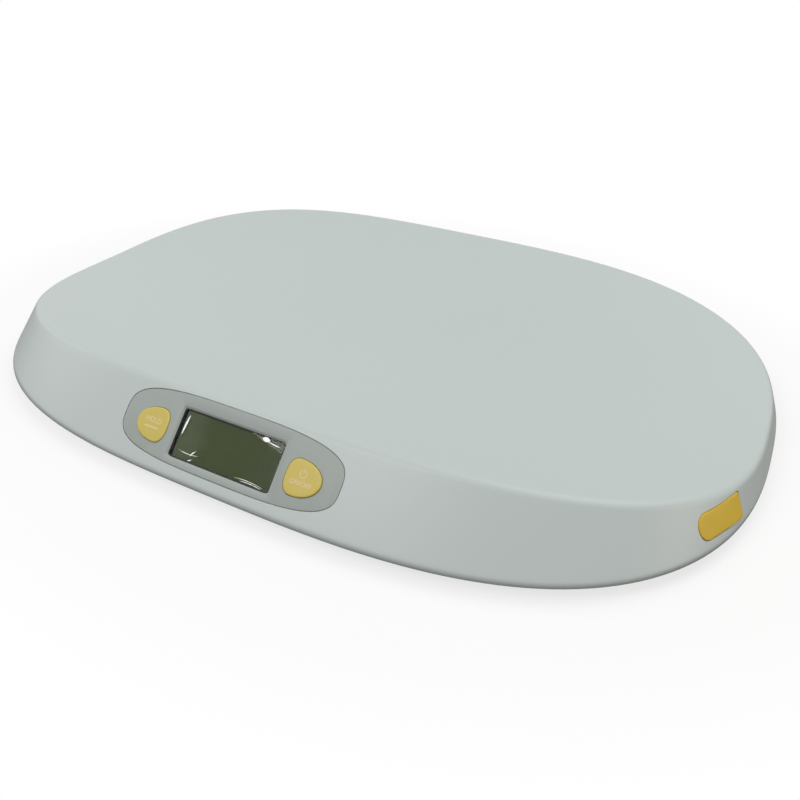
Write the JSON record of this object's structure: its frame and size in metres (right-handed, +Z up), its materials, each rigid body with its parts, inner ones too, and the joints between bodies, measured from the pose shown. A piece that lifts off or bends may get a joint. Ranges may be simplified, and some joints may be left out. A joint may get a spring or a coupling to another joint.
{
  "type": "digital baby weighing scale",
  "caption": "Trough-shaped tray on four weighing feet, with a display and push buttons in the sloping front wall and a pull-out measuring tape in one end.",
  "frame": {"origin": "on the surface the scale stands on, under the middle of the casing", "axes": "+X along the tray towards the end with the measuring tape, +Y from the front with the display to the back, +Z up"},
  "size_m": [0.5492, 0.3842, 0.0468],
  "materials": {
    "white_casing": "satin moulded ABS, cool off-white",
    "grey_base": "textured moulded ABS",
    "silver_grey_panel": "silver-grey painted plastic",
    "window_lens": "clear polished acrylic",
    "lcd": "switched-off reflective display",
    "black_plastic": "black moulded plastic",
    "zebra_rubber": "striped conductive rubber",
    "board": "green solder mask",
    "black_resin": "potting resin",
    "capacitor_sleeve": "printed sleeve",
    "socket_plastic": "natural nylon",
    "yellow_plastic": "satin yellow plastic",
    "screw_steel": "zinc plated",
    "cell_steel": "cold rolled steel",
    "gauge_foil": "polyimide foil",
    "foot_rubber": "moulded rubber",
    "cell_jacket": "plain printed jacket",
    "contact_steel": "nickel plated spring steel",
    "red_sleeve": "PVC sleeve",
    "black_sleeve": "PVC sleeve",
    "grey_sleeve": "PVC sleeve",
    "tape_cloth": "coated glass-fibre tape"
  },
  "bodies": {
    "casing": {"top_shell": "white_casing", "base_shell": "grey_base", "display_bezel": "silver_grey_panel", "display_window": "window_lens", "lcd_glass": "lcd", "lcd_holder": "black_plastic", "lcd_connector": "zebra_rubber", "circuit_board": "board", "controller_chip": "black_resin", "board_capacitors": "capacitor_sleeve", "lead_sockets": "socket_plastic", "switch_housings": "black_plastic", "board_screws": "screw_steel", "load_cells": "cell_steel", "strain_gauges": "gauge_foil", "foot_holders": "grey_base", "foot_pads": "foot_rubber", "cell_screws": "screw_steel", "case_screws": "screw_steel", "battery_cells": "cell_jacket", "contact_plates": "contact_steel", "contact_springs": "contact_steel", "red_lead": "red_sleeve", "black_lead": "black_sleeve", "cell_leads": "grey_sleeve", "lead_clips": "socket_plastic", "tape_case": "black_plastic", "tape_cover": "black_plastic", "tape_axle": "screw_steel", "tape_spring": "cell_steel", "tape_screws": "screw_steel"},
    "hold_button": {"hold_button": "yellow_plastic", "hold_plunger": "black_plastic"},
    "power_button": {"power_button": "yellow_plastic", "power_plunger": "black_plastic"},
    "battery_door": {"battery_door": "grey_base"},
    "tape_tab": {"tape_tab": "yellow_plastic", "tape_blade": "tape_cloth"},
    "tape_spool": {"tape_spool": "socket_plastic", "tape_roll": "tape_cloth"}
  },
  "joints": [
    {"name": "hold_button_press", "type": "slide", "parent": "casing", "child": "hold_button", "axis": [0, 0.7062, -0.708], "range_m": [0, 0.0005], "stiffness_N_per_m": 400, "springref_m": -0.0005},
    {"name": "power_button_press", "type": "slide", "parent": "casing", "child": "power_button", "axis": [0, 0.7062, -0.708], "range_m": [0, 0.0005], "stiffness_N_per_m": 400, "springref_m": -0.0005},
    {"name": "battery_door_hinge", "type": "hinge", "parent": "casing", "child": "battery_door", "pos_m": [-0.06, 0.01295, 0.005], "axis": [1, 0, 0], "range_deg": [0, 75]},
    {"name": "tape_pull", "type": "slide", "parent": "casing", "child": "tape_tab", "axis": [0.9021, -0.4315, 0], "range_m": [0, 1], "stiffness_N_per_m": 2, "springref_m": -0.4, "deforming": ["tape_blade"]},
    {"name": "spool_spin", "type": "hinge", "parent": "casing", "child": "tape_spool", "pos_m": [0.20899, -0.08023, 0.02], "axis": [0, 0, -1], "range_deg": [0, 3960], "deforming": ["tape_spring"]}
  ],
  "couplings": [
    {"joint": "spool_spin", "follows": "tape_pull", "rad_per_m": 68.966}
  ]
}
